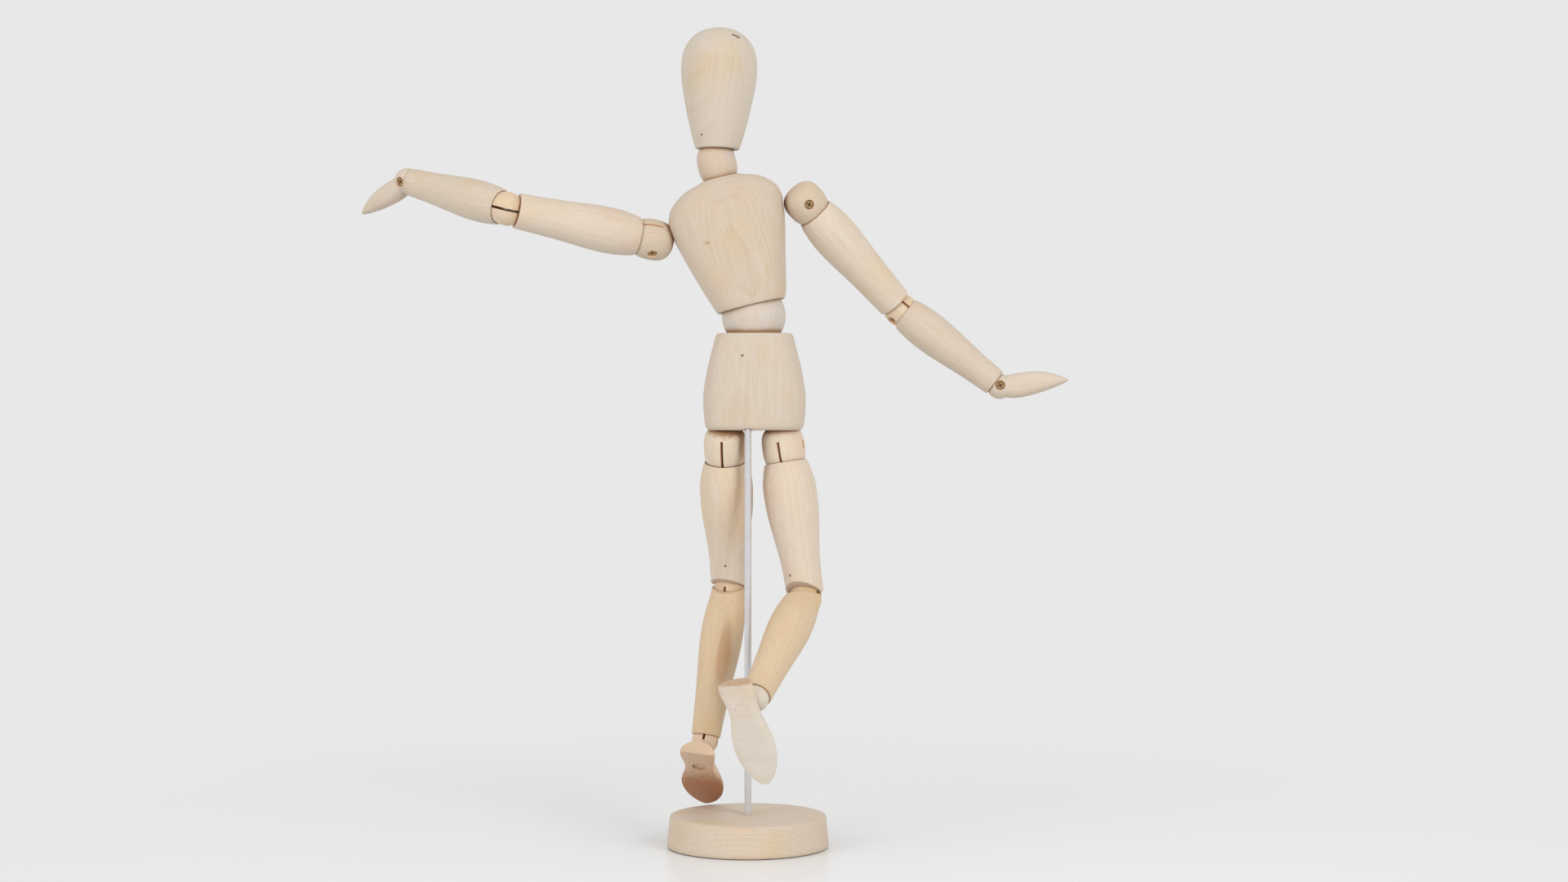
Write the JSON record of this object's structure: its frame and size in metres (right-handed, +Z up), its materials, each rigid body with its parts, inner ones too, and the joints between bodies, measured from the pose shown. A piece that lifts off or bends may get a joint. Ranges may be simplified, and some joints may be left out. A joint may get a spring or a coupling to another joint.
{
  "type": "wooden artist's mannequin figure",
  "caption": "Jointed wooden artist's figure with egg-shaped head, ball joints and mitten hands, caught in a dance step on a steel rod over a round wooden base.",
  "frame": {"origin": "centre of the round base's underside, on the surface it stands on", "axes": "+Z up along the rod; the figure's back faces -Y and its front faces +Y; its left side is at -X and its right side at +X"},
  "size_m": [0.2937, 0.092, 0.331],
  "materials": {
    "limb_wood": "smooth sanded, unvarnished",
    "ball_wood": "smooth sanded, unvarnished",
    "base_wood": "smooth sanded, unvarnished",
    "rod_steel": "drawn wire, satin",
    "screw_brass": "dull, lightly tarnished",
    "tab_steel": "punched sheet, satin",
    "spring_steel": "drawn wire, satin",
    "pin_steel": "dull"
  },
  "bodies": {
    "stand": {"base_disc": "base_wood", "stand_rod": "rod_steel"},
    "pelvis": {"pelvis": "limb_wood", "pelvis_pin": "pin_steel"},
    "waist_link": {"waist_link": "tab_steel"},
    "waist_ball": {"waist_ball": "ball_wood"},
    "chest": {"chest": "limb_wood", "spine_spring": "spring_steel"},
    "neck_link": {"neck_link": "tab_steel"},
    "neck_ball": {"neck_ball": "ball_wood"},
    "head": {"head": "limb_wood", "head_pin": "pin_steel"},
    "shoulder_ball_left": {"shoulder_ball_left": "ball_wood", "shoulder_screw_left": "screw_brass"},
    "shoulder_hook_left": {"shoulder_tab_left": "tab_steel"},
    "upper_arm_left": {"upper_arm_left": "limb_wood", "arm_spring_left": "spring_steel", "elbow_tab_left": "tab_steel"},
    "forearm_left": {"forearm_left": "limb_wood", "elbow_ball_left": "ball_wood", "elbow_screw_left": "screw_brass"},
    "wrist_hook_left": {"wrist_tab_left": "tab_steel"},
    "hand_left": {"hand_left": "limb_wood", "wrist_screw_left": "screw_brass"},
    "hip_ball_left": {"hip_ball_left": "ball_wood", "hip_screw_left": "screw_brass"},
    "hip_hook_left": {"hip_tab_left": "tab_steel"},
    "thigh_left": {"thigh_left": "limb_wood", "thigh_pin_left": "pin_steel", "knee_ball_left": "ball_wood", "knee_screw_left": "screw_brass"},
    "shin_left": {"shin_left": "limb_wood", "knee_tab_left": "tab_steel"},
    "ankle_hook_left": {"ankle_tab_left": "tab_steel"},
    "foot_left": {"foot_left": "limb_wood", "ankle_screw_left": "screw_brass"},
    "shoulder_ball_right": {"shoulder_ball_right": "ball_wood", "shoulder_screw_right": "screw_brass"},
    "shoulder_hook_right": {"shoulder_tab_right": "tab_steel"},
    "upper_arm_right": {"upper_arm_right": "limb_wood", "arm_spring_right": "spring_steel", "elbow_tab_right": "tab_steel"},
    "forearm_right": {"forearm_right": "limb_wood", "elbow_ball_right": "ball_wood", "elbow_screw_right": "screw_brass"},
    "wrist_hook_right": {"wrist_tab_right": "tab_steel"},
    "hand_right": {"hand_right": "limb_wood", "wrist_screw_right": "screw_brass"},
    "hip_ball_right": {"hip_ball_right": "ball_wood", "hip_screw_right": "screw_brass"},
    "hip_hook_right": {"hip_tab_right": "tab_steel"},
    "thigh_right": {"thigh_right": "limb_wood", "thigh_pin_right": "pin_steel", "knee_ball_right": "ball_wood", "knee_screw_right": "screw_brass"},
    "shin_right": {"shin_right": "limb_wood", "knee_tab_right": "tab_steel"},
    "ankle_hook_right": {"ankle_tab_right": "tab_steel"},
    "foot_right": {"foot_right": "limb_wood", "ankle_screw_right": "screw_brass"}
  },
  "joints": [
    {"name": "figure_swivel", "type": "hinge", "parent": "stand", "child": "pelvis", "pos_m": [0, 0, 0.16], "axis": [0, 0, 1], "continuous": true},
    {"name": "waist_twist", "type": "hinge", "parent": "pelvis", "child": "waist_link", "pos_m": [0.0022, 0.01, 0.2138], "axis": [0, 0, 1], "range_deg": [-60, 60]},
    {"name": "waist_bend", "type": "hinge", "parent": "waist_link", "child": "waist_ball", "pos_m": [0.0022, 0.01, 0.2138], "axis": [1, 0, 0], "range_deg": [-25, 25]},
    {"name": "waist_lean", "type": "hinge", "parent": "waist_ball", "child": "chest", "pos_m": [0.0022, 0.01, 0.2138], "axis": [0, 1, 0], "range_deg": [-12, 38]},
    {"name": "neck_twist", "type": "hinge", "parent": "chest", "child": "neck_link", "pos_m": [-0.01273, 0.01, 0.27552], "axis": [-0.2351, 0, 0.972], "range_deg": [-80, 80]},
    {"name": "neck_nod", "type": "hinge", "parent": "neck_link", "child": "neck_ball", "pos_m": [-0.01273, 0.01, 0.27552], "axis": [0.972, 0, 0.2351], "range_deg": [-22, 22]},
    {"name": "neck_lean", "type": "hinge", "parent": "neck_ball", "child": "head", "pos_m": [-0.01273, 0.01, 0.27552], "axis": [0, 1, 0], "range_deg": [-45, 15]},
    {"name": "shoulder_turn_left", "type": "hinge", "parent": "chest", "child": "shoulder_ball_left", "pos_m": [-0.03928, 0.01, 0.24492], "axis": [0.972, 0, 0.2351], "range_deg": [-110, 110]},
    {"name": "shoulder_swing_left", "type": "hinge", "parent": "shoulder_ball_left", "child": "shoulder_hook_left", "pos_m": [-0.03928, 0.01, 0.24492], "axis": [0.0654, -0.6344, -0.7702], "range_deg": [-65, 70]},
    {"name": "arm_twist_left", "type": "hinge", "parent": "shoulder_hook_left", "child": "upper_arm_left", "pos_m": [-0.03928, 0.01, 0.24492], "axis": [0.9343, 0.3101, -0.1761], "range_deg": [-90, 90]},
    {"name": "elbow_bend_left", "type": "hinge", "parent": "upper_arm_left", "child": "forearm_left", "pos_m": [-0.09627, -0.00891, 0.25566], "axis": [-0.227, 0.1365, -0.9643], "range_deg": [-60, 26]},
    {"name": "wrist_twist_left", "type": "hinge", "parent": "forearm_left", "child": "wrist_hook_left", "pos_m": [-0.1395, 0.01553, 0.2693], "axis": [0.8394, -0.4747, -0.2648], "range_deg": [-90, 90]},
    {"name": "wrist_bend_left", "type": "hinge", "parent": "wrist_hook_left", "child": "hand_left", "pos_m": [-0.1395, 0.01553, 0.2693], "axis": [-0.5224, -0.839, -0.1522], "range_deg": [-84, 1]},
    {"name": "hip_spread_left", "type": "hinge", "parent": "pelvis", "child": "hip_ball_left", "pos_m": [-0.0094, 0.01, 0.1603], "axis": [0, 1, 0], "range_deg": [-3, 25]},
    {"name": "hip_swing_left", "type": "hinge", "parent": "hip_ball_left", "child": "hip_hook_left", "pos_m": [-0.0094, 0.01, 0.1603], "axis": [0.9894, -0.1435, -0.024], "range_deg": [-1, 54]},
    {"name": "thigh_twist_left", "type": "hinge", "parent": "hip_hook_left", "child": "thigh_left", "pos_m": [-0.0094, 0.01, 0.1603], "axis": [-0.0214, -0.3068, 0.9515], "range_deg": [-40, 8]},
    {"name": "knee_bend_left", "type": "hinge", "parent": "thigh_left", "child": "shin_left", "pos_m": [-0.0081, 0.02863, 0.10254], "axis": [0.9523, -0.2961, -0.0741], "range_deg": [-30, 30]},
    {"name": "ankle_twist_left", "type": "hinge", "parent": "shin_left", "child": "ankle_hook_left", "pos_m": [-0.01768, 0.01327, 0.04084], "axis": [0.1489, 0.2389, 0.9596], "range_deg": [-8, 40]},
    {"name": "ankle_bend_left", "type": "hinge", "parent": "ankle_hook_left", "child": "foot_left", "pos_m": [-0.01768, 0.01327, 0.04084], "axis": [0.9833, -0.1381, -0.1182], "range_deg": [0, 30]},
    {"name": "shoulder_turn_right", "type": "hinge", "parent": "chest", "child": "shoulder_ball_right", "pos_m": [0.02312, 0.01, 0.26001], "axis": [0.972, 0, 0.2351], "range_deg": [-110, 110]},
    {"name": "shoulder_swing_right", "type": "hinge", "parent": "shoulder_ball_right", "child": "shoulder_hook_right", "pos_m": [0.02312, 0.01, 0.26001], "axis": [0.1979, -0.9585, -0.2053], "range_deg": [-26, 80]},
    {"name": "arm_twist_right", "type": "hinge", "parent": "shoulder_hook_right", "child": "upper_arm_right", "pos_m": [0.02312, 0.01, 0.26001], "axis": [-0.6523, -0.2851, 0.7023], "range_deg": [-90, 90]},
    {"name": "elbow_bend_right", "type": "hinge", "parent": "upper_arm_right", "child": "forearm_right", "pos_m": [0.06291, 0.02739, 0.21717], "axis": [-0.5868, -0.3965, -0.706], "range_deg": [-90, 14]},
    {"name": "wrist_twist_right", "type": "hinge", "parent": "forearm_right", "child": "wrist_hook_right", "pos_m": [0.10339, 0.02379, 0.18555], "axis": [-0.7861, 0.07, 0.6141], "range_deg": [-90, 90]},
    {"name": "wrist_bend_right", "type": "hinge", "parent": "wrist_hook_right", "child": "hand_right", "pos_m": [0.10339, 0.02379, 0.18555], "axis": [-0.0249, -0.9963, 0.0817], "range_deg": [-84, 1]},
    {"name": "hip_spread_right", "type": "hinge", "parent": "pelvis", "child": "hip_ball_right", "pos_m": [0.0143, 0.01, 0.1603], "axis": [0, 1, 0], "range_deg": [-25, 6]},
    {"name": "hip_swing_right", "type": "hinge", "parent": "hip_ball_right", "child": "hip_hook_right", "pos_m": [0.0143, 0.01, 0.1603], "axis": [0.9599, -0.2377, 0.1485], "range_deg": [-30, 60]},
    {"name": "thigh_twist_right", "type": "hinge", "parent": "hip_hook_right", "child": "thigh_right", "pos_m": [0.0143, 0.01, 0.1603], "axis": [-0.148, 0.02, 0.9888], "range_deg": [-15, 60]},
    {"name": "knee_bend_right", "type": "hinge", "parent": "thigh_right", "child": "shin_right", "pos_m": [0.02328, 0.00879, 0.10028], "axis": [0.8765, -0.4605, 0.1405], "range_deg": [-18, 20]},
    {"name": "ankle_twist_right", "type": "hinge", "parent": "shin_right", "child": "ankle_hook_right", "pos_m": [0.00335, -0.04028, 0.06382], "axis": [0.31, 0.7631, 0.5671], "range_deg": [-40, 40]},
    {"name": "ankle_bend_right", "type": "hinge", "parent": "ankle_hook_right", "child": "foot_right", "pos_m": [0.00335, -0.04028, 0.06382], "axis": [0.8901, -0.4425, 0.1088], "range_deg": [-25, 30]}
  ]
}
